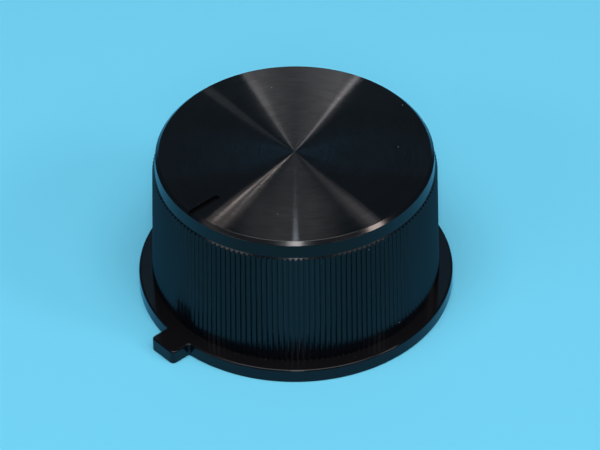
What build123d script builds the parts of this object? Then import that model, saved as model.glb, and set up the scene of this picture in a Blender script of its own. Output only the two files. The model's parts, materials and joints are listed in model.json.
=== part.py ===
from build123d import *
from math import cos, radians, sin, tan
import os

os.makedirs("parts", exist_ok=True)

# All lengths in millimetres, angles in degrees.
# Z is the shaft axis, z = 0 is the panel side, the index tab and the pointer notch face -Y.

# Flange with its index tab
flange_diameter = 44.0
flange_thickness = 2.1
flange_edge_chamfer = 0.3
tab_width = 4.55
tab_reach = 2.85
tab_corner_round = 0.6
tab_root_round = 0.4

# Ribbed grip, drafted towards the face
grip_foot_diameter = 40.2
grip_draft = 1.5
rib_count = 164
rib_depth = 0.2
rib_crest_share = 0.14
rib_tip_height = 0.6
rib_tip_inset = 0.5

# Smooth band, rounded rim and flat face
knob_height = 22.7
face_diameter = 38.3
band_height = 2.8
rim_round = 0.35
groove_runout = 0.04

# Pointer notch in the face, open at the rim
notch_width = 0.85
notch_depth = 0.45
notch_length = 5.3

# Hollow underside
wall_thickness = 2.0
top_thickness = 2.0

# Split boss that grips a round shaft
bore_diameter = 6.0
bore_depth = 13.0
bore_lead_in = 0.4
bore_end_wall = 2.2
boss_wall = 2.6
slit_count = 4
slit_width = 0.8
slit_depth = 7.5

# Webs that carry the boss
web_count = 4
web_thickness = 1.2
web_height = 4.5

# Spring ring round the boss
wire_thickness = 1.0
wire_height = 1.4
ring_groove_depth = 0.6
ring_clearance = 0.05
ring_foot_offset = 2.5
ring_gap_angle = 50.0

# Cuts run past the faces they open by this much
overrun = 0.5

flange_radius = flange_diameter / 2
rib_top = knob_height - band_height
cavity_top = knob_height - top_thickness
draft_slope = tan(radians(grip_draft))

crest_foot_radius = grip_foot_diameter / 2
crest_top_radius = crest_foot_radius - (rib_top - flange_thickness) * draft_slope
groove_foot_radius = crest_foot_radius - rib_depth
groove_top_radius = groove_foot_radius * crest_top_radius / crest_foot_radius
band_foot_radius = groove_top_radius - groove_runout

cavity_mouth_radius = groove_foot_radius - wall_thickness
cavity_top_radius = cavity_mouth_radius - cavity_top * draft_slope

bore_top = knob_height - bore_end_wall
boss_foot = bore_top - bore_depth
boss_radius = bore_diameter / 2 + boss_wall
web_foot = cavity_top - web_height
ring_height = boss_foot + ring_foot_offset
ring_seat_radius = boss_radius - ring_groove_depth


def rib_outline(crest_radius):
    """Corners of the ribbed cross-section, scaled to a radius over the crests."""
    groove_radius = crest_radius * groove_foot_radius / crest_foot_radius
    turn = radians(360 / rib_count)
    half_crest = turn * rib_crest_share / 2
    half_pitch = turn / 2
    corners = []
    for rib in range(rib_count):
        middle = rib * turn
        for radius, angle in (
            (crest_radius, middle - half_crest),
            (crest_radius, middle + half_crest),
            (groove_radius, middle + half_pitch),
        ):
            corners.append((radius * cos(angle), radius * sin(angle)))
    return corners


# Outer form of the knob: flange, grip and face over the hollow underside
with BuildPart() as shell:
    # Flange and tab, with the tab's root and corners rounded in plan
    with BuildSketch() as flange_plan:
        Circle(flange_radius)
        with Locations((0, -(flange_radius + tab_reach) / 2)):
            Rectangle(tab_width, flange_radius + tab_reach)
        fillet(flange_plan.vertices().group_by(Axis.Y)[1], tab_root_round)
        fillet(flange_plan.vertices().group_by(Axis.Y)[0], tab_corner_round)
    extrude(amount=flange_thickness)
    chamfer(shell.faces().sort_by(Axis.Z)[-1].outer_wire().edges(), flange_edge_chamfer)

    # Ribbed grip: a straight drafted stretch, then the sloping rib tips
    for height, crest_radius in (
        (flange_thickness / 2, crest_foot_radius + flange_thickness / 2 * draft_slope),
        (rib_top, crest_top_radius),
        (rib_top + rib_tip_height, crest_top_radius - rib_tip_inset),
    ):
        with BuildSketch(Plane.XY.offset(height)):
            with BuildLine():
                Polyline(*rib_outline(crest_radius), close=True)
            make_face()
    loft(ruled=True)

    # Smooth band, rim and face
    with BuildSketch(Plane.XZ) as band_profile:
        with BuildLine():
            Polyline(
                (0, rib_top),
                (band_foot_radius, rib_top),
                (face_diameter / 2, knob_height),
                (0, knob_height),
                close=True,
            )
        make_face()
        fillet(band_profile.vertices().group_by(Axis.Y)[-1].sort_by(Axis.X)[-1], rim_round)
    revolve(axis=Axis.Z)

    # Hollow underside
    with BuildSketch(Plane.XZ):
        with BuildLine():
            Polyline(
                (0, 0),
                (cavity_mouth_radius, 0),
                (cavity_top_radius, cavity_top),
                (0, cavity_top),
                close=True,
            )
        make_face()
    revolve(axis=Axis.Z, mode=Mode.SUBTRACT)

    # Pointer notch
    with BuildSketch(Plane.XY.offset(knob_height - notch_depth)):
        notch_end = face_diameter / 2 - notch_length + notch_width / 2
        with Locations((0, -(notch_end + flange_radius) / 2)):
            Rectangle(notch_width, flange_radius - notch_end)
        with Locations((0, -notch_end)):
            Circle(notch_width / 2)
    extrude(amount=notch_depth + overrun, mode=Mode.SUBTRACT)

# Knob body, one moulding: the split boss and its webs inside the shell
with BuildPart() as knob_body:
    # Boss, hung from the top by webs that end inside the wall
    with BuildSketch(Plane.XY.offset(boss_foot)):
        Circle(boss_radius)
    extrude(amount=cavity_top + top_thickness / 2 - boss_foot)
    with BuildSketch(Plane.XY.offset(web_foot)):
        with PolarLocations(cavity_mouth_radius / 2, web_count, start_angle=180 / web_count):
            Rectangle(cavity_mouth_radius, web_thickness)
    extrude(amount=web_height + top_thickness / 2)

    # Shaft bore with its lead-in
    with BuildSketch(Plane.XZ):
        with BuildLine():
            Polyline(
                (0, boss_foot - overrun),
                (bore_diameter / 2 + bore_lead_in + overrun, boss_foot - overrun),
                (bore_diameter / 2, boss_foot + bore_lead_in),
                (bore_diameter / 2, bore_top),
                (0, bore_top),
                close=True,
            )
        make_face()
    revolve(axis=Axis.Z, mode=Mode.SUBTRACT)

    # Slits that split the boss into jaws
    with BuildSketch(Plane.XY.offset(boss_foot - overrun)):
        with PolarLocations(boss_radius / 2, slit_count):
            Rectangle(boss_radius + overrun, slit_width)
    extrude(amount=slit_depth + overrun, mode=Mode.SUBTRACT)

    # Groove for the spring ring
    with BuildSketch(Plane.XZ):
        with Locations((ring_seat_radius + boss_radius / 2, ring_height)):
            Rectangle(boss_radius, wire_height + 2 * ring_clearance)
    revolve(axis=Axis.Z, mode=Mode.SUBTRACT)

    add(shell.part)
knob_body.part.label = "knob_body"
export_step(knob_body.part, "parts/knob_body.step")

# Spring ring, an open turn of flat steel wire
with BuildPart() as boss_spring_ring:
    with BuildSketch(Plane.XZ):
        with Locations((ring_seat_radius + ring_clearance + wire_thickness / 2, ring_height)):
            Rectangle(wire_thickness, wire_height)
    revolve(axis=Axis.Z, revolution_arc=360 - ring_gap_angle)
boss_spring_ring.part.label = "boss_spring_ring"
export_step(boss_spring_ring.part, "parts/boss_spring_ring.step")
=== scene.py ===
import json
import math

import bmesh
import bpy
from mathutils import Matrix, Vector


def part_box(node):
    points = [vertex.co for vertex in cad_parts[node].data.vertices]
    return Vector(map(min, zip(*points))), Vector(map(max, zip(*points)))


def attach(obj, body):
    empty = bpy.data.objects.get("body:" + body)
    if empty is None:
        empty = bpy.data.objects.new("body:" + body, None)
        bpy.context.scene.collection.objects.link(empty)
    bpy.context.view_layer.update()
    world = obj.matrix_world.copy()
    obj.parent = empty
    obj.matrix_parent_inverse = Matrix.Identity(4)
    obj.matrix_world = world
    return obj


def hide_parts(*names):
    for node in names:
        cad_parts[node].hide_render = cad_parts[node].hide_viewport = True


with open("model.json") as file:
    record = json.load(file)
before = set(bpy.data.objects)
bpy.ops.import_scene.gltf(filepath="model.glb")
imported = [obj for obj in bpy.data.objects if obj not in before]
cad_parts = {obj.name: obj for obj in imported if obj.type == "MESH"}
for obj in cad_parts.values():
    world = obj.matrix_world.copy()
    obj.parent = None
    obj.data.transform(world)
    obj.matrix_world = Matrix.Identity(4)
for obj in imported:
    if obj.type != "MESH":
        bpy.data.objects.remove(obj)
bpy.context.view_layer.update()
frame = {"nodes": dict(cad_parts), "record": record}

mm = 0.001
tolerance = 0.001 * mm                                 # places closer than this are the same
weldDistance = 0.002 * mm                              # vertices closer than this are joined
bodyLow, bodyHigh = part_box("knob_body")
ringLow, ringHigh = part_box("boss_spring_ring")
mounts = {mount["name"]: mount for mount in frame["record"]["mounts"]}
boreMount = mounts["shaft_bore"]
print("frame:", len(frame["nodes"]), "nodes, height", round(bodyHigh.z / mm, 2), "mm")


class Wire:                                            # a node socket that Python expressions can use
    def __init__(self, tree, socket=None):
        self.tree = tree
        self.socket = socket

    def add(self, kind, settings=None, sockets=None, out=0):   # any node but plain maths
        node = self.tree.nodes.new(kind)
        for name, value in (settings or {}).items():
            setattr(node, name, value)
        for name, value in (sockets or {}).items():
            self.plug(node.inputs[name], value)
        return Wire(self.tree, node.outputs[out] if len(node.outputs) else None)

    def plug(self, target, value):
        if isinstance(value, Wire):
            self.tree.links.new(value.socket, target)
        else:
            target.default_value = value

    def math(self, operation, *values):
        return self.add("ShaderNodeMath", {"operation": operation}, dict(enumerate(values)))

    def vector(self, operation, *values, out=0):
        return self.add("ShaderNodeVectorMath", {"operation": operation}, dict(enumerate(values)), out)

    def __add__(self, other):
        return self.math("ADD", self, other)

    def __sub__(self, other):
        return self.math("SUBTRACT", self, other)

    def __rsub__(self, other):
        return self.math("SUBTRACT", other, self)

    def __mul__(self, other):
        return self.math("MULTIPLY", self, other)

    def __truediv__(self, other):
        return self.math("DIVIDE", self, other)

    def ramp(self, low, high, start=0.0, end=1.0):     # low to high becomes start to end, softly
        sockets = {0: self, 1: low, 2: high, 3: start, 4: end}
        return self.add("ShaderNodeMapRange", {"interpolation_type": "SMOOTHSTEP"}, sockets)

    def mix(self, first, second):                      # self is the factor between two colours
        return self.add("ShaderNodeMix", {"data_type": "RGBA"}, {0: self, 6: first, 7: second}, 2)


def newMaterial(name):
    material = bpy.data.materials.new(name)
    material.use_nodes = True
    material.node_tree.nodes.clear()
    return material, Wire(material.node_tree)


def finishMaterial(start, sockets, dullShare=None):    # shader and output, a share of it dull
    shader = start.add("ShaderNodeBsdfPrincipled", {}, sockets, "BSDF")
    if dullShare:
        dull = {"Base Color": sockets["Base Color"], "Roughness": 1.0, "Specular IOR Level": 0.0}
        other = start.add("ShaderNodeBsdfPrincipled", {}, dull, "BSDF")
        shader = start.add("ShaderNodeMixShader", {}, {0: dullShare, 1: shader, 2: other})
    start.add("ShaderNodeOutputMaterial", {}, {"Surface": shader})


# Finishes

blackFinish = {
    "colour": (0.0022, 0.0028, 0.0042, 1.0),
    "roughness": 0.2,
    "roughnessSpread": 0.05,
    "ior": 1.303,
    "tint": (0.95, 0.97, 1.0, 1.0),
    "grazingDull": 0.34,                               # share of the gloss that is lost at a low angle
    "cloudSize": 5 * mm,                               # patches of more and less gloss
    "peelSize": 0.9 * mm,                              # the moulding's faint ripples
    "peelHeight": 0.05 * mm,
    "peelStrength": 0.02,
    "dustCell": 3.6 * mm,                              # one speck at most in a cell of this size
    "dustRadius": 0.09 * mm,
    "fineCell": 1.44 * mm,                             # the same for the finer, fainter specks
    "fineRadius": 0.045 * mm,
    "fineShare": 0.5,
    "dustColour": (0.22, 0.25, 0.27, 1.0),
    "paintedTopLight": (0.0048, 0.0048, 0.0056, 1.0),          # painted light: a lighter colour on what faces up
}
rimFinish = {
    **blackFinish,
    "ior": 1.5,
    "tint": (1.0, 1.0, 1.0, 1.0),
    "grazingDull": 0.3,
    "roughness": 0.15,
}
flangeFinish = {
    **blackFinish,
    "roughness": 0.12,
}
notchShadeFinish = {                                        # matt and darker than the moulding round it: painted shade in the notch, with no painted light on its floor
    **blackFinish,
    # painted shade: a darker colour than the moulding's own
    "colour": (0.0012, 0.0014, 0.002, 1.0),
    "paintedTopLight": (0.0012, 0.0014, 0.002, 1.0),
    "ior": 1.2,
    "roughness": 0.5,
}


def noise(place, size, detail):                        # soft patches of one size, 0.5 on average
    sockets = {"Vector": place, "Scale": 1 / size, "Detail": detail}
    return place.add("ShaderNodeTexNoise", {}, sockets, "Fac")


def dustMask(place, cell, radius):                     # 1 on a speck of dust, 0 elsewhere
    sockets = {"Vector": place, "Scale": 1 / cell}
    spot = place.add("ShaderNodeTexVoronoi", {"feature": "F1"}, sockets, "Distance")
    return spot.ramp(radius / cell, radius / cell * 0.5)


def makeBlackGloss(name, values):
    material, start = newMaterial(name)
    place = start.add("ShaderNodeTexCoord", {}, {}, "Object")
    normal = start.add("ShaderNodeTexCoord", {}, {}, "Normal")
    upward = start.add("ShaderNodeSeparateXYZ", {}, {"Vector": normal}, "Z")
    cloud = noise(place, values["cloudSize"], 4.0)
    dust = dustMask(place, values["dustCell"], values["dustRadius"])
    fine = dustMask(place, values["fineCell"], values["fineRadius"])
    specks = dust.math("MAXIMUM", dust, fine * values["fineShare"])
    facing = start.add("ShaderNodeLayerWeight", {}, {"Blend": 0.5}, "Facing")
    rough = (cloud - 0.5) * values["roughnessSpread"] * 2 + values["roughness"]
    # what faces up is mixed towards a lighter colour: painted light on the tops
    colour = upward.ramp(0.8, 1.0).mix(values["colour"], values["paintedTopLight"])
    bump = start.add("ShaderNodeBump", {}, {
        "Height": noise(place, values["peelSize"], 2.0),
        "Strength": values["peelStrength"],
        "Distance": values["peelHeight"],
    })
    finishMaterial(start, {
        "Base Color": specks.mix(colour, values["dustColour"]),
        "Roughness": rough + specks * 0.5,
        "IOR": values["ior"],
        "Specular Tint": values["tint"],
        "Normal": bump,
    }, facing.ramp(0.2, 0.55, 0.0, values["grazingDull"]))
    return material


faceFinish = {
    "colour": (0.0028, 0.0031, 0.0038, 1.0),
    "roughness": 0.075,
    "anisotropy": 1.0,
    "rotation": 0.25,                                  # the highlight runs across the turning marks
    "ior": 1.64,
    "lean": 0.11,                                      # slope of the turning marks, outwards
    "leanGain": 0.15,                                  # more of it at the rim
    "leanSpread": 0.2,
    "markPitch": 0.016 * mm,
    "wearPitch": 0.3 * mm,                             # dull arcs among the marks
    "wearTurns": 5.0,                                  # how often they break round the face
    "wearShare": 0.26,
    "cloudSize": 6.667 * mm,
}


def makeSpunFace(values):
    material, start = newMaterial("spunBlackFace")
    place = start.add("ShaderNodeTexCoord", {}, {}, "Object")
    flat = place.vector("MULTIPLY", place, (1.0, 1.0, 0.0))
    radius = place.vector("LENGTH", flat, out="Value")
    outward = place.vector("NORMALIZE", flat)
    marks = start.add("ShaderNodeTexNoise", {"noise_dimensions": "1D"},
                      {"W": radius, "Scale": 1 / values["markPitch"], "Detail": 3.0}, "Fac")
    out = radius / bodyHigh.x
    lean = (marks - 0.5) * values["leanSpread"] * 2 + out * out * values["leanGain"] + values["lean"]
    tilt = start.add("ShaderNodeVectorMath", {"operation": "SCALE"}, {0: outward, "Scale": lean})
    normal = place.vector("NORMALIZE", place.vector("ADD", tilt, (0.0, 0.0, 1.0)))
    turns = place.vector("MULTIPLY", outward, (values["wearTurns"], values["wearTurns"], 0.0))
    rings = start.add("ShaderNodeCombineXYZ", {}, {"Z": radius / values["wearPitch"]})
    arcs = noise(place.vector("ADD", turns, rings), 1.0, 3.0)
    cloud = noise(place, values["cloudSize"], 3.0)
    worn = (arcs * 0.5 + cloud * 0.5).ramp(0.38, 0.62, 0.0, values["wearShare"])
    dust = dustMask(place, blackFinish["dustCell"], blackFinish["dustRadius"])
    finishMaterial(start, {
        "Base Color": dust.mix(values["colour"], blackFinish["dustColour"]),
        "Roughness": values["roughness"],
        "IOR": values["ior"],
        "Anisotropic": values["anisotropy"],
        "Anisotropic Rotation": values["rotation"],
        "Normal": normal,
    }, worn)
    return material


steelFinish = {
    "colour": (0.52, 0.53, 0.55, 1.0),
    "dull": (0.34, 0.34, 0.35, 1.0),
    "roughest": 0.4,
    "smoothest": 0.22,
    "drawPitch": 0.12 * mm,                            # lines from drawing the wire
    "drawDepth": 0.02 * mm,
    "drawStrength": 0.3,
}


def makeSpringSteel(values):
    material, start = newMaterial("drawnSpringSteel")
    place = start.add("ShaderNodeTexCoord", {}, {}, "Object")
    flat = place.vector("MULTIPLY", place, (1.0, 1.0, 0.0))
    radius = place.vector("LENGTH", flat, out="Value")
    height = start.add("ShaderNodeSeparateXYZ", {}, {"Vector": place}, "Z")
    across = start.add("ShaderNodeCombineXYZ", {}, {"X": radius, "Y": height})
    lines = noise(across, values["drawPitch"], 3.0)
    bump = start.add("ShaderNodeBump", {}, {
        "Height": lines,
        "Strength": values["drawStrength"],
        "Distance": values["drawDepth"],
    })
    finishMaterial(start, {
        "Base Color": lines.mix(values["dull"], values["colour"]),
        "Metallic": 1.0,
        "Roughness": lines.ramp(0.3, 0.7, values["roughest"], values["smoothest"]),
        "Normal": bump,
    })
    return material


blackGloss = makeBlackGloss("blackGlossMoulding", blackFinish)
turnedRim = makeBlackGloss("turnedRim", rimFinish)
flangeGloss = makeBlackGloss("flangeGloss", flangeFinish)
notchPaintedShade = makeBlackGloss("notchPaintedShade", notchShadeFinish)
spunFace = makeSpunFace(faceFinish)
springSteel = makeSpringSteel(steelFinish)
print("finishes:", len(bpy.data.materials))


# Meshes

def addObject(name, mesh):
    piece = bpy.data.objects.new(name, mesh)
    bpy.context.scene.collection.objects.link(piece)
    return piece


def plainMesh(piece):                                  # what the modifiers give, as a mesh of its own
    bpy.context.view_layer.update()
    shown = piece.evaluated_get(bpy.context.evaluated_depsgraph_get())
    return bpy.data.meshes.new_from_object(shown)


def settle(piece):                                     # modifiers become mesh
    mesh = plainMesh(piece)
    piece.modifiers.clear()
    piece.data = mesh
    return piece


def meshFrom(name, build, *values):
    work = bmesh.new()
    build(work, *values)
    bmesh.ops.recalc_face_normals(work, faces=work.faces)
    mesh = bpy.data.meshes.new(name)
    work.to_mesh(mesh)
    work.free()
    return mesh


def lathe(work, profile, columns):                     # a closed profile of (radius, height), turned about Z
    rows = []
    for radius, height in profile:
        if radius == 0:
            rows.append([work.verts.new((0, 0, height))])
            continue
        turns = [2 * math.pi * column / columns for column in range(columns)]
        rows.append([work.verts.new((radius * math.cos(t), radius * math.sin(t), height)) for t in turns])
    for low, high in zip(rows, rows[1:]):
        for column in range(columns):
            following = (column + 1) % columns
            corners = [low[column % len(low)], low[following % len(low)],
                       high[following % len(high)], high[column % len(high)]]
            work.faces.new(list(dict.fromkeys(corners)))


def slab(work, low, high, turn):                       # a box from corner to corner, turned about Z
    made = bmesh.ops.create_cube(work, size=1.0)["verts"]
    middle = (Vector(low) + Vector(high)) / 2
    size = Vector(high) - Vector(low)
    place = Matrix.Rotation(turn, 4, "Z") @ Matrix.Translation(middle) @ Matrix.Diagonal((*size, 1.0))
    bmesh.ops.transform(work, matrix=place, verts=made)


def carve(piece, cutter):                              # the cutter is used up
    modifier = piece.modifiers.new("carve", "BOOLEAN")
    modifier.operation = "DIFFERENCE"
    modifier.solver = "EXACT"
    modifier.object = cutter
    settle(piece)
    bpy.data.objects.remove(cutter)


def smoothFlat(piece, angle):                          # smooth shading that leaves large faces flat
    piece.data.shade_smooth()
    piece.data.set_sharp_from_angle(angle=math.radians(angle))
    piece.data.transform(Matrix.Scale(1 / mm, 4))      # in metres all faces count as equal in size
    modifier = piece.modifiers.new("smoothFlat", "WEIGHTED_NORMAL")
    modifier.mode = "FACE_AREA"
    modifier.weight = 60                               # each smaller size counts a fifth as much
    modifier.thresh = 0.002                            # faces within so many mm2 count alike
    modifier.keep_sharp = True
    settle(piece)
    piece.data.transform(Matrix.Scale(mm, 4))


def arc(centre, radius, fromAngle, toAngle, steps):    # points of a rounding, angles in degrees
    angles = [math.radians(fromAngle + (toAngle - fromAngle) * i / steps) for i in range(steps + 1)]
    return [(centre[0] + radius * math.cos(a), centre[1] + radius * math.sin(a)) for a in angles]


# Grip: the outer skin from the flange up to the middle of the face

grip = {
    "ribCount": 164,
    "columnsPerRib": 12,
    "grooveRound": 0.14,                               # round part beside a groove's bottom, in pitches
    "ribDepth": 0.238 * mm,
    "footRadius": 20.1 * mm,
    "footRound": 0.03 * mm,
    "draft": math.radians(1.5),
    "bandHeight": 2.8 * mm,                            # smooth band over the ribs
    "tipHeight": 0.6 * mm,
    "tipInset": 0.5 * mm,
    "tipRound": 0.05 * mm,
    "arrisShares": (0.3, 0.2),                         # middle of that round, inwards and upwards
    "bandClear": 0.035 * mm,                           # how far the band lies under the groove bottoms
    "faceRadius": 19.15 * mm,
    "rimBevel": 0.5 * mm,
    "rimRound": 0.12 * mm,                             # at both ends of the bevel
    "rimSteps": 4,
    "faceShares": (0.72, 0.4, 0.12),                   # rings of vertices on the face
    "sharpAngle": 32,                                  # degrees between faces that stay an edge
}
flange = {
    "thickness": 2.1 * mm,
    "edgeRound": 0.3 * mm,
    "lowerRound": 0.08 * mm,
    "edgeSteps": 4,
    "tabWidth": 4.55 * mm,
    "tabCorner": 0.6 * mm,
    "tabRoot": 0.25 * mm,
}
knobTop = bodyHigh.z
flangeRadius = bodyHigh.x
tabEnd = -bodyLow.y
ribTop = knobTop - grip["bandHeight"]


def gripProfile(inset):                                # a radial section, at a crest for 0 or in a groove
    slope = math.tan(grip["draft"])
    crestTop = grip["footRadius"] - (ribTop - flange["thickness"]) * slope
    shrink = crestTop / grip["footRadius"]
    foot = grip["footRadius"] - inset
    top = crestTop - inset * shrink
    bandFoot = (grip["footRadius"] - grip["ribDepth"]) * shrink - grip["bandClear"]
    lean = (bandFoot - grip["faceRadius"]) / grip["bandHeight"]   # of the band, inwards
    tip = grip["tipInset"] / grip["tipHeight"]
    rise = (crestTop - bandFoot) / (tip - lean)        # where the tips' cone runs into the band
    start = (crestTop - top) / (tip - slope)           # and where this section runs into the cone
    base = flange["thickness"]
    rounding = grip["footRound"]
    points = [(foot + rounding, base)]
    points += arc((foot + rounding, base + rounding), rounding, 240, 180, 2)
    reach = min(grip["tipRound"], (rise - start) / 2)
    arris = top - start * slope
    inShare, upShare = grip["arrisShares"]
    points += [
        (arris + reach * slope, ribTop + start - reach),
        (arris - reach * tip * inShare, ribTop + start + reach * upShare),
        (arris - reach * tip, ribTop + start + reach),
        (crestTop - rise * tip, ribTop + rise),
    ]
    leanAngle = math.degrees(math.atan(lean))
    radius = grip["rimRound"]
    drop = grip["rimBevel"] + radius * math.tan(math.pi / 8)
    side = grip["faceRadius"] + lean * drop            # the band, level with the lower round's centre
    lower = (side - radius / math.cos(math.atan(lean)), knobTop - drop)
    upper = (lower[0] - drop + radius, knobTop - radius)
    points += arc(lower, radius, leanAngle, 45, grip["rimSteps"])
    points += arc(upper, radius, 45, 90, grip["rimSteps"])
    points += [(upper[0] * share, knobTop) for share in grip["faceShares"]]
    points.append((0.0, knobTop))
    return points


def ribbedTree():                                      # a profile turned about Z, with its grooves pressed in
    tree = bpy.data.node_groups.new("ribbedSkin", "GeometryNodeTree")
    sockets = (
        ("Profile", "INPUT", "NodeSocketGeometry"),
        ("Rib Count", "INPUT", "NodeSocketInt"),
        ("Columns Per Rib", "INPUT", "NodeSocketInt"),
        ("Groove Round", "INPUT", "NodeSocketFloat"),
        ("Material", "INPUT", "NodeSocketMaterial"),
        ("Skin", "OUTPUT", "NodeSocketGeometry"),
    )
    for name, side, kind in sockets:
        tree.interface.new_socket(name, in_out=side, socket_type=kind)
    start = Wire(tree)
    entry = tree.nodes.new("NodeGroupInput")
    given = {socket.name: Wire(tree, socket) for socket in entry.outputs if socket.name}
    profile = given["Profile"]
    rows = start.add("GeometryNodeAttributeDomainSize", {"component": "MESH"}, {0: profile}, "Point Count")
    columns = given["Rib Count"] * given["Columns Per Rib"]
    grid = start.add("GeometryNodeMeshGrid", {}, {"Vertices X": columns + 1, "Vertices Y": rows}, "Mesh")
    index = start.add("GeometryNodeInputIndex")
    column = start.math("FLOOR", index / rows + 0.00001)   # safe against a quotient just under a whole
    row = index - column * rows

    def fromProfile(name):                             # a value that the profile's point of this row carries
        number = {"data_type": "FLOAT"}
        value = start.add("GeometryNodeInputNamedAttribute", number, {"Name": name}, "Attribute")
        sockets = {"Geometry": profile, "Value": value, "Index": row}
        return start.add("GeometryNodeSampleIndex", {**number, "domain": "POINT"}, sockets, "Value")

    turn = column / columns * (2 * math.pi)
    offBottom = 0.5 - start.math("PINGPONG", column / given["Columns Per Rib"], 0.5)
    reach = given["Groove Round"]
    bend = start.math("MINIMUM", offBottom, reach)     # a round bottom, then a flat flank up to the crest
    groove = 1 - (offBottom - bend + bend * bend / reach * 0.5) / (0.5 - reach * 0.5)
    radius = fromProfile("crestRadius") - fromProfile("grooveInset") * groove
    height = fromProfile("crestHeight") - fromProfile("grooveDrop") * groove
    place = start.add("ShaderNodeCombineXYZ", {}, {
        "X": radius * turn.math("COSINE", turn),
        "Y": radius * turn.math("SINE", turn),
        "Z": height,
    })
    skin = start.add("GeometryNodeSetPosition", {}, {"Geometry": grid, "Position": place})
    skin = start.add("GeometryNodeMergeByDistance", {}, {"Geometry": skin, "Distance": weldDistance})
    skin = start.add("GeometryNodeRealizeInstances", {}, {"Geometry": skin})
    skin = start.add("GeometryNodeSetMaterial", {}, {"Geometry": skin, "Material": given["Material"]})
    start.add("NodeGroupOutput", {}, {"Skin": skin})
    return tree


def ribbedSkin():
    crest = gripProfile(0.0)
    bottom = gripProfile(grip["ribDepth"])
    mesh = bpy.data.meshes.new("gripProfile")
    mesh.from_pydata([(r, 0, z) for r, z in crest], [(i, i + 1) for i in range(len(crest) - 1)], [])
    carried = {
        "crestRadius": [r for r, z in crest],
        "crestHeight": [z for r, z in crest],
        "grooveInset": [a[0] - b[0] for a, b in zip(crest, bottom)],
        "grooveDrop": [a[1] - b[1] for a, b in zip(crest, bottom)],
    }
    for name, values in carried.items():
        mesh.attributes.new(name, "FLOAT", "POINT").data.foreach_set("value", values)
    piece = addObject("gripProfile", mesh)
    tree = ribbedTree()
    modifier = piece.modifiers.new("ribs", "NODES")
    modifier.node_group = tree
    given = {
        "Rib Count": grip["ribCount"],
        "Columns Per Rib": grip["columnsPerRib"],
        "Groove Round": grip["grooveRound"],
        "Material": blackGloss,
    }
    for socket in tree.interface.items_tree:
        if socket.in_out == "INPUT" and socket.name in given:
            modifier[socket.identifier] = given[socket.name]
    skin = plainMesh(piece)
    bpy.data.objects.remove(piece)
    return skin


def flangePath():                                      # half of the flange's outline, back to tab
    half = flange["tabWidth"] / 2
    root = flange["tabRoot"]
    corner = flange["tabCorner"]
    rootCentre = Vector((half + root, -math.sqrt((flangeRadius + root) ** 2 - (half + root) ** 2)))
    rootAngle = math.atan2(rootCentre.y, rootCentre.x)
    cornerCentre = Vector((half - corner, corner - tabEnd))

    def bend(centre, radius, first, last, sign):
        def point(share):
            angle = first + (last - first) * share
            out = Vector((math.cos(angle), math.sin(angle)))
            return Vector(centre) + out * radius, out * sign
        return abs(last - first) * radius, point

    def straight(first, last, out):
        def point(share):
            return first.lerp(last, share), Vector(out)
        return (last - first).length, point

    return [
        bend((0, 0), flangeRadius, math.pi / 2, rootAngle, 1),
        bend(rootCentre, root, rootAngle + math.pi, math.pi, -1),
        straight(Vector((half, rootCentre.y)), Vector((half, cornerCentre.y)), (1, 0)),
        bend(cornerCentre, corner, 0, -math.pi / 2, 1),
        straight(Vector((half - corner, -tabEnd)), Vector((0, -tabEnd)), (0, -1)),
    ]


def flangePoint(path, turn):                           # outline point and its outward direction
    fromBack = abs((turn - math.pi / 2 + math.pi) % (2 * math.pi) - math.pi)
    side = 1 if math.cos(turn) >= 0 else -1
    tabTurn = math.asin((flange["tabWidth"] / 2 - flange["edgeRound"]) / grip["footRadius"])
    intoTab = fromBack - (math.pi - tabTurn)           # columns of the tab stay within its width
    roundLength = path[0][0]
    tabLength = sum(length for length, point in path[1:])
    along = roundLength + intoTab / tabTurn * tabLength
    if intoTab <= 0:
        along = fromBack / (math.pi - tabTurn) * roundLength
    for length, point in path:
        if along <= length or point is path[-1][1]:
            place, out = point(min(1.0, along / length))
            return Vector((place.x * side, place.y)), Vector((out.x * side, out.y))
        along -= length


def byTurn(verts):                                     # in order round the Z axis
    return sorted(verts, key=lambda vert: math.atan2(vert.co.y, vert.co.x))


def openLoop(work, height):                            # open edge of a mesh at one height
    edges = [edge for edge in work.edges if edge.is_boundary]
    verts = {vert for edge in edges for vert in edge.verts if abs(vert.co.z - height) < tolerance}
    return byTurn(verts)


def addFlange(work):                                   # from the skin's open foot to the underside
    loop = openLoop(work, flange["thickness"])
    turns = [math.atan2(vert.co.y, vert.co.x) for vert in loop]
    path = flangePath()
    outline = [flangePoint(path, turn) for turn in turns]
    upper = flange["edgeRound"]
    lower = flange["lowerRound"]
    rows = arc((upper, flange["thickness"] - upper), upper, 90, 180, flange["edgeSteps"])
    rows += arc((lower, lower), lower, 180, 270, flange["edgeSteps"] // 2)
    for inset, height in rows:
        following = []
        for place, out in outline:
            spot = place - out * inset
            following.append(work.verts.new((spot.x, spot.y, height)))
        for i in range(len(loop)):
            j = (i + 1) % len(loop)
            work.faces.new((loop[i], loop[j], following[j], following[i]))
        loop = following
    return loop


def zipLoops(work, outer, inner):                      # flat ring between two loops of unlike count
    i = j = 0
    while i < len(outer) or j < len(inner):
        stepOuter = j == len(inner) or (i < len(outer) and (i + 1) / len(outer) <= (j + 1) / len(inner))
        a = outer[i % len(outer)]
        b = inner[j % len(inner)]
        if stepOuter:
            i += 1
            work.faces.new((a, outer[i % len(outer)], b))
        else:
            j += 1
            work.faces.new((a, inner[j % len(inner)], b))


# Hollow underside with the split boss

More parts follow.
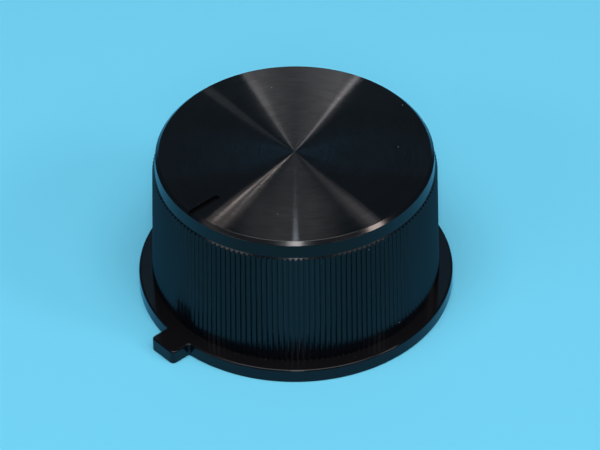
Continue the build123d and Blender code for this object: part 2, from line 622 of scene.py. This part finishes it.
hollow = {
    "columns": 324,
    "wall": 2.0 * mm,
    "top": 2.0 * mm,
    "cornerRound": 0.6 * mm,
    "cornerSteps": 5,
    "bossWall": 2.6 * mm,
    "boreEndWall": 2.2 * mm,
    "leadIn": 0.4 * mm,
    "bossRound": 0.25 * mm,
    "bossSteps": 4,
    "slitWidth": 0.8 * mm,
    "slitDepth": 7.5 * mm,
    "webThickness": 1.2 * mm,
    "webHeight": 4.5 * mm,
    "webCount": 4,
    "grooveDepth": 0.6 * mm,
    "grooveClear": 0.05 * mm,
    "overrun": 0.5 * mm,
}
boreRadius = boreMount["dims"]["r_mm"] * mm
boreTop = knobTop - hollow["boreEndWall"]
bossFoot = boreTop - boreMount["dims"]["length_mm"] * mm - hollow["leadIn"]
bossRadius = boreRadius + hollow["bossWall"]
cavityTop = knobTop - hollow["top"]
mouthRadius = grip["footRadius"] - grip["ribDepth"] - hollow["wall"]


def cavityProfile():
    corner = hollow["cornerRound"]
    topRadius = mouthRadius - cavityTop * math.tan(grip["draft"])
    points = [(0.0, 0.0), (mouthRadius, 0.0)]
    points += arc((topRadius - corner, cavityTop - corner), corner, 0, 90, hollow["cornerSteps"])
    points.append((0.0, cavityTop))
    return points


def bossProfile():
    seat = bossRadius - hollow["grooveDepth"]
    ringFoot = ringLow.z - hollow["grooveClear"]
    ringHead = ringHigh.z + hollow["grooveClear"]
    rounding = hollow["bossRound"]
    points = [(0.0, boreTop), (boreRadius, boreTop), (boreRadius, bossFoot + hollow["leadIn"])]
    points.append((boreRadius + hollow["leadIn"], bossFoot))
    points += arc((bossRadius - rounding, bossFoot + rounding), rounding, 270, 360, hollow["bossSteps"])
    points += [(bossRadius, ringFoot), (seat, ringFoot), (seat, ringHead), (bossRadius, ringHead)]
    points += [(bossRadius, cavityTop + hollow["overrun"]), (0.0, cavityTop + hollow["overrun"])]
    return points


def addWebs(work):
    half = hollow["webThickness"] / 2
    inner = (boreRadius + bossRadius) / 2
    for step in range(hollow["webCount"]):
        turn = (step + 0.5) * 2 * math.pi / hollow["webCount"]
        low = (inner, -half, cavityTop - hollow["webHeight"])
        slab(work, low, (mouthRadius + hollow["overrun"], half, cavityTop + hollow["overrun"]), turn)


def makeCavity():                                      # the space inside the knob, as a solid
    cavity = addObject("cavity", meshFrom("cavity", lathe, cavityProfile(), hollow["columns"]))
    boss = addObject("boss", meshFrom("boss", lathe, bossProfile(), hollow["columns"] // 2))
    half = hollow["slitWidth"] / 2
    reach = bossRadius + hollow["overrun"]
    low = (-reach, -half, bossFoot - hollow["overrun"])
    high = (reach, half, bossFoot + hollow["slitDepth"])
    for turn in (0.0, math.pi / 2):                    # two bars that cross make the four slits
        carve(boss, addObject("slitBar", meshFrom("slitBar", slab, low, high, turn)))
    carve(cavity, boss)
    carve(cavity, addObject("webs", meshFrom("webs", addWebs)))
    return cavity


# Pointer notch

notch = {
    "width": 0.85 * mm,
    "depth": 0.45 * mm,
    "length": 5.3 * mm,
    "endSteps": 12,
    "overrun": 0.8 * mm,
}


def notchCutter(work):
    half = notch["width"] / 2
    inner = grip["faceRadius"] - notch["length"] + half
    outer = flangeRadius
    outline = arc((0, -inner), half, 0, 180, notch["endSteps"])
    outline += [(-half, -outer), (half, -outer)]
    low = [work.verts.new((x, y, knobTop - notch["depth"])) for x, y in outline]
    base = work.faces.new(low)
    raised = bmesh.ops.extrude_face_region(work, geom=[base])["geom"]
    verts = [item for item in raised if isinstance(item, bmesh.types.BMVert)]
    bmesh.ops.translate(work, vec=(0, 0, notch["depth"] + notch["overrun"]), verts=verts)


# The knob as one piece

knobFinishes = (blackGloss, spunFace, turnedRim, flangeGloss, notchPaintedShade)


def finishOf(face):
    height = face.center.z
    radius = face.center.xy.length
    inLine = abs(face.center.x) < notch["width"] / 2 + tolerance and face.center.y < 0
    notchFloor = knobTop - notch["depth"] - tolerance
    notchEnd = grip["faceRadius"] - notch["length"]
    if height > knobTop - tolerance and face.normal.z > 0.9999:
        return spunFace
    if inLine and height > notchFloor and radius > notchEnd:
        return notchPaintedShade
    if height > knobTop - grip["rimBevel"] - grip["rimRound"] and face.normal.z > 0.2:
        return turnedRim
    if height < flange["thickness"] + tolerance and radius > grip["footRadius"] - grip["ribDepth"]:
        return flangeGloss
    return blackGloss


def hollowSkin():                                      # the cavity's walls, open at the mouth
    cavity = makeCavity()
    inside = bmesh.new()
    inside.from_mesh(cavity.data)
    mouth = [face for face in inside.faces if max(vert.co.z for vert in face.verts) < tolerance]
    bmesh.ops.delete(inside, geom=mouth, context="FACES")
    bmesh.ops.reverse_faces(inside, faces=inside.faces)
    mesh = bpy.data.meshes.new("hollow")
    inside.to_mesh(mesh)
    inside.free()
    bpy.data.objects.remove(cavity)
    return mesh


def knobShell(work):                                   # ribbed skin, flange and hollow
    work.from_mesh(ribbedSkin())
    outer = addFlange(work)
    work.from_mesh(hollowSkin())
    inner = [vert for vert in openLoop(work, 0.0) if vert.co.xy.length < mouthRadius + tolerance]
    zipLoops(work, byTurn(outer), byTurn(inner))
    bmesh.ops.remove_doubles(work, verts=work.verts, dist=weldDistance)


def makeKnob():
    piece = addObject("ribbed_knob", meshFrom("knob", knobShell))
    carve(piece, addObject("notchCutter", meshFrom("notchCutter", notchCutter)))
    mesh = piece.data
    mesh.materials.clear()
    for material in knobFinishes:
        mesh.materials.append(material)
    for face in mesh.polygons:
        face.material_index = knobFinishes.index(finishOf(face))
    smoothFlat(piece, grip["sharpAngle"])
    mesh = piece.data
    mesh.use_auto_texspace = False                     # the face's turning marks centre on the shaft axis
    mesh.texspace_location = (0.0, 0.0, knobTop / 2)
    mesh.texspace_size = (tabEnd, tabEnd, knobTop / 2)
    return piece


# Spring ring round the boss

ring = {
    "gap": math.radians(50),
    "thickness": 1.0 * mm,
    "edgeRound": 0.18 * mm,
    "edgeSteps": 3,
    "columns": 150,
    "sharpAngle": 40,
}


def springRing(work):
    outer = ringHigh.x
    inner = outer - ring["thickness"]
    corner = ring["edgeRound"]
    section = []
    corners = (
        (outer - corner, ringLow.z + corner, -90),
        (outer - corner, ringHigh.z - corner, 0),
        (inner + corner, ringHigh.z - corner, 90),
        (inner + corner, ringLow.z + corner, 180),
    )
    for radius, height, first in corners:
        section += arc((radius, height), corner, first, first + 90, ring["edgeSteps"])
    rows = []
    for column in range(ring["columns"] + 1):
        turn = (2 * math.pi - ring["gap"]) * column / ring["columns"]
        rows.append([work.verts.new((r * math.cos(turn), r * math.sin(turn), z)) for r, z in section])
    for low, high in zip(rows, rows[1:]):
        for i in range(len(section)):
            j = (i + 1) % len(section)
            work.faces.new((low[i], low[j], high[j], high[i]))
    work.faces.new(rows[0])
    work.faces.new(rows[-1])


def makeRing():
    piece = addObject("spring_ring", meshFrom("springRing", springRing))
    piece.data.materials.append(springSteel)
    smoothFlat(piece, ring["sharpAngle"])
    return piece


knob = makeKnob()
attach(knob, "root")
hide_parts("knob_body")
print("knob:", len(knob.data.polygons), "faces")

springPiece = makeRing()
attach(springPiece, "root")
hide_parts("boss_spring_ring")
print("spring ring:", len(springPiece.data.polygons), "faces")


# Floor, light and camera

view = {
    "azimuth": 48.3,                                   # degrees round from the tab
    "elevation": 41.49,
    "distance": 616 * mm,
    "focalPixels": 4382,
    "imageWidth": 600,
    "aimRight": 0.001035,                              # off the base's centre, in shares of the distance
    "aimUp": 0.01154,
    "roll": -0.00974,
    "sensor": 36.0,
    "nearest": 10 * mm,
}


def aroundView(azimuth, elevation, distance):          # azimuth from the camera's side
    turn = math.radians(view["azimuth"] + azimuth)
    rise = math.radians(elevation)
    flat = math.cos(rise) * distance
    return Vector((math.sin(turn) * flat, -math.cos(turn) * flat, math.sin(rise) * distance))


def makeCamera():
    camera = bpy.data.objects.new("camera", bpy.data.cameras.new("camera"))
    bpy.context.scene.collection.objects.link(camera)
    place = aroundView(0, view["elevation"], view["distance"])
    back = place.normalized()
    right = Vector((0, 0, 1)).cross(back).normalized()
    up = back.cross(right)
    ahead = (right * view["aimRight"] + up * view["aimUp"] - back).normalized()
    right = ahead.cross(Vector((0, 0, 1))).normalized()
    up = right.cross(ahead)
    turned = right * math.cos(view["roll"]) + up * math.sin(view["roll"])
    upright = up * math.cos(view["roll"]) - right * math.sin(view["roll"])
    basis = Matrix((turned, upright, -ahead)).transposed().to_4x4()
    camera.matrix_world = Matrix.Translation(place) @ basis
    camera.data.sensor_width = view["sensor"]
    camera.data.lens = view["focalPixels"] / view["imageWidth"] * view["sensor"]
    camera.data.clip_start = view["nearest"]
    bpy.context.scene.camera = camera


studio = {
    "floorColour": (0.17, 0.65, 0.893, 1.0),
    "floorRoughness": 0.9,
    "floorGloss": 0.1,
    "floorSize": 4.0,
    "floorDrop": 0.03 * mm,
    "worldColour": (0.04, 0.065, 0.085, 1.0),
    "worldStrength": 1.0,
    "glowSize": 0.6,
    "glowFronts": (17 * mm, 26 * mm, 35 * mm),         # how far its layers come forward of the axis
    "glowLevel": 0.17,                                 # of a layer, the deep blue in the gloss near the floor
    "glowColour": (0.0, 0.42, 1.0),
}
# Azimuth, elevation, distance, width, height, level and colour of each
softboxes = {
    "fill": (0, 76, 0.9, 0.9, 0.6, 3.55, (1.0, 1.0, 1.0)),
    "key": (0, 44, 0.9, 0.11, 0.4, 11.0, (1.0, 0.95, 0.98)),
    "keyHalo": (0, 46, 0.9, 0.3, 0.5, 0.55, (0.96, 0.98, 1.0)),
    "backdrop": (180, 41, 0.9, 0.2, 0.12, 0.45, (0.2, 0.60, 1.0)),
    "sides": (180, 40, 0.9, 1.6, 0.2, 0.045, (0.13, 0.55, 1.0)),
}
# Narrow lamps that the face, rim or rib tips show at one angle round the knob: the angle, half the spread,
# the lowest and highest slope of the surface, level, colour, and where the strip slants, half its turn
# from low to high
strips = {
    "frontFan": (-3, 24, 5, 18, 0.26, (1.0, 0.97, 1.0)),
    "frontCore": (0, 12, 5, 18, 0.13, (1.0, 0.97, 1.0)),
    "frontLeft": (-36.3, 0.8, 2.5, 7, 13.0, (1.0, 0.88, 0.84)),
    "frontLeftOuter": (-39.5, 0.9, 7, 11.5, 4.8, (1.0, 0.88, 0.84)),
    "frontLeftWide": (-37.5, 4.5, 9, 18, 0.8, (1.0, 0.86, 0.82)),
    "frontLeftRim": (-38.5, 3.0, 42, 48, 0.55, (1.0, 0.84, 0.78)),
    "frontLeftTips": (-28, 9.0, 48.5, 53, 4.5, (1.0, 0.9, 0.87)),
    "frontRight": (36.5, 1.8, 9, 19, 0.4, (1.0, 0.93, 0.96)),
    "frontRightWide": (36.0, 3.8, 9, 19, 0.35, (1.0, 0.93, 0.96)),
    "frontRightGlow": (34, 3.5, 4, 9, 0.2, (1.0, 0.93, 0.96)),
    "frontRightTips": (23, 8.0, 48.5, 53, 2.5, (1.0, 0.9, 0.87)),
    "frontRightRim": (35, 3.5, 42, 50, 11.5, (1.0, 0.82, 0.76)),
    "frontLine": (0, 0.8, 12, 26, 4.5, (0.75, 0.85, 1.0)),
    "backFan": (177, 26, 5, 17, 0.26, (1.0, 0.97, 1.0)),
    "backRight": (149.4, 1.0, 4, 18, 1.3, (1.0, 0.94, 0.98), -2.0),
    "backLeft": (-157.6, 2.0, 4, 18, 0.35, (1.0, 0.95, 0.97), 2.4),
    "backStreak": (-136, 2.0, 5, 18, 0.14, (1.0, 1.0, 1.0)),
}
# Lamps that fade away from an edge: the edge's angle, the reach from it, then as for the strips
fades = {
    "backRightFade": (147.9, 24, 5, 18, 0.6, (1.0, 0.95, 0.98), -2.0),
    "backLeftFade": (-155.0, -19, 5, 18, 0.42, (1.0, 0.95, 0.97), 2.4),
}
fadeLayers = 7
fadeStep = 1 * mm                                      # between layers, so that none hides another
stripDistance = 3.0
faceCentre = Vector((0, 0, knobTop))


def makeStudio():
    scene = bpy.context.scene
    scene.view_settings.view_transform = "Standard"
    half = studio["floorSize"] / 2
    mesh = bpy.data.meshes.new("floor")
    corners = [(-half, -half), (half, -half), (half, half), (-half, half)]
    mesh.from_pydata([(x, y, -studio["floorDrop"]) for x, y in corners], [], [(0, 1, 2, 3)])
    floor = addObject("floor", mesh)
    material, start = newMaterial("paleFloor")
    finishMaterial(start, {
        "Base Color": studio["floorColour"],
        "Roughness": studio["floorRoughness"],
        "Specular IOR Level": studio["floorGloss"],
    })
    mesh.materials.append(material)
    world = bpy.data.worlds.new("studio")
    world.use_nodes = True
    scene.world = world
    background = world.node_tree.nodes["Background"]
    background.inputs["Color"].default_value = studio["worldColour"]
    background.inputs["Strength"].default_value = studio["worldStrength"]


def addLamp(name, place, away, along, width, height, level, colour):   # shines against the way given by away
    light = bpy.data.lights.new(name, "AREA")
    light.shape = "RECTANGLE"
    light.size = width
    light.size_y = height
    light.energy = level * math.pi * width * height    # so that level is its brightness
    light.color = colour
    lamp = bpy.data.objects.new(name, light)
    bpy.context.scene.collection.objects.link(lamp)
    across = along.cross(away).normalized()
    basis = Matrix((across, away.cross(across), away)).transposed().to_4x4()
    lamp.matrix_world = Matrix.Translation(place) @ basis
    lamp.visible_camera = False


def mirrored(faceAngle, slope):                        # what the camera sees in a surface of this lean
    turn = math.radians(view["azimuth"] + faceAngle)
    lean = math.radians(slope)
    normal = Vector((math.sin(turn) * math.sin(lean), -math.cos(turn) * math.sin(lean), math.cos(lean)))
    toCamera = (aroundView(0, view["elevation"], view["distance"]) - faceCentre).normalized()
    return 2 * normal.dot(toCamera) * normal - toCamera


def addStrip(name, angle, spread, low, high, level, colour, slant=0.0, distance=stripDistance):
    middle = (low + high) / 2
    along = mirrored(angle + slant, high) - mirrored(angle - slant, low)
    across = mirrored(angle + spread, middle) - mirrored(angle - spread, middle)
    place = mirrored(angle, middle) * distance + faceCentre
    width = across.length * distance
    addLamp(name, place, place.normalized(), along, width, along.length * distance, level, colour)


def makeLamps():
    for name, (azimuth, elevation, distance, width, height, level, colour) in softboxes.items():
        place = aroundView(azimuth, elevation, distance)
        addLamp(name, place, place.normalized(), Vector((0, 0, 1)), width, height, level, colour)
    down = Vector((0, 0, -1))                          # the glow lies on the floor and shines up
    ahead = aroundView(0, 0, 1)
    side = studio["glowSize"]
    for layer, front in enumerate(studio["glowFronts"]):
        drop = studio["floorDrop"] * (layer + 1) / (len(studio["glowFronts"]) + 1)
        place = aroundView(180, 0, side / 2 - front) + down * drop
        addLamp("floorGlow", place, down, ahead, side, side, studio["glowLevel"], studio["glowColour"])
    for name, strip in strips.items():
        addStrip(name, *strip)
    for name, (edge, reach, low, high, level, colour, slant) in fades.items():
        for layer in range(fadeLayers):
            half = reach * ((layer + 1) / fadeLayers) ** 2 / 2
            distance = stripDistance + layer * fadeStep
            addStrip(name, edge + half, abs(half), low, high, level / fadeLayers, colour, slant, distance)


makeCamera()
makeStudio()
makeLamps()
print("studio:", len(bpy.data.lights), "lamps")
